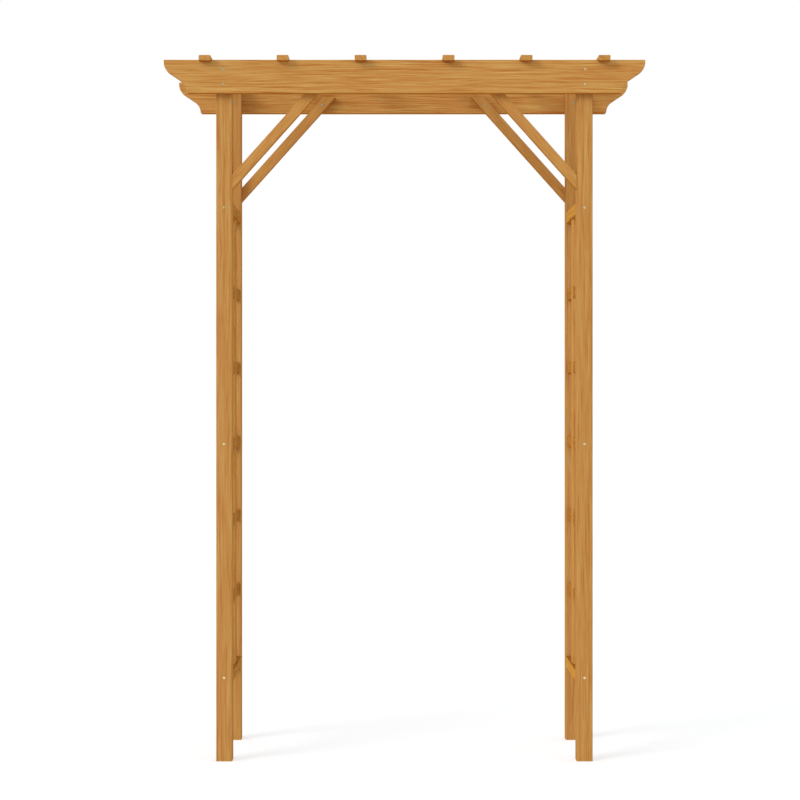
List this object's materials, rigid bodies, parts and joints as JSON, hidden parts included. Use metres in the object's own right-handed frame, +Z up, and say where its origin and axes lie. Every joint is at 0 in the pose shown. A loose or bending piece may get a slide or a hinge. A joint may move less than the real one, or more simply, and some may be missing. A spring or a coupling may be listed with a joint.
{
  "type": "wooden garden wedding arbor",
  "caption": "Free-standing wooden arbor: square posts, shaped beams, flat rafters across the top, corner braces and slatted side panels around an open archway.",
  "frame": {"origin": "on the ground at the middle of the arbor's footprint", "axes": "+Z up, X across the archway with +X on the right seen from the front, -Y towards the front"},
  "size_m": [1.473, 0.522, 2.16],
  "materials": {
    "post_wood": "planed softwood, clear amber stain, satin",
    "beam_wood": "planed softwood, clear amber stain, satin",
    "rafter_wood": "planed softwood, clear amber stain, satin",
    "brace_wood": "planed softwood, clear amber stain, satin",
    "rail_wood": "planed softwood, clear amber stain, satin",
    "slat_wood": "planed softwood, clear amber stain, satin",
    "upright_wood": "planed softwood, clear amber stain, satin",
    "screw_steel": "zinc-plated screw heads"
  },
  "bodies": {
    "root": {"post_front_left": "post_wood", "post_front_right": "post_wood", "post_back_left": "post_wood", "post_back_right": "post_wood", "beam_front": "beam_wood", "beam_back": "beam_wood", "rafter_1": "rafter_wood", "rafter_2": "rafter_wood", "rafter_3": "rafter_wood", "rafter_4": "rafter_wood", "rafter_5": "rafter_wood", "rafter_6": "rafter_wood", "brace_front_left": "brace_wood", "brace_front_right": "brace_wood", "brace_back_left": "brace_wood", "brace_back_right": "brace_wood", "left_rail_bottom": "rail_wood", "left_rail_middle": "rail_wood", "left_rail_top": "rail_wood", "left_slat_1": "slat_wood", "left_slat_2": "slat_wood", "left_slat_3": "slat_wood", "left_slat_4": "slat_wood", "left_upright": "upright_wood", "right_rail_bottom": "rail_wood", "right_rail_middle": "rail_wood", "right_rail_top": "rail_wood", "right_slat_1": "slat_wood", "right_slat_2": "slat_wood", "right_slat_3": "slat_wood", "right_slat_4": "slat_wood", "right_upright": "upright_wood"}
  },
  "joints": []
}
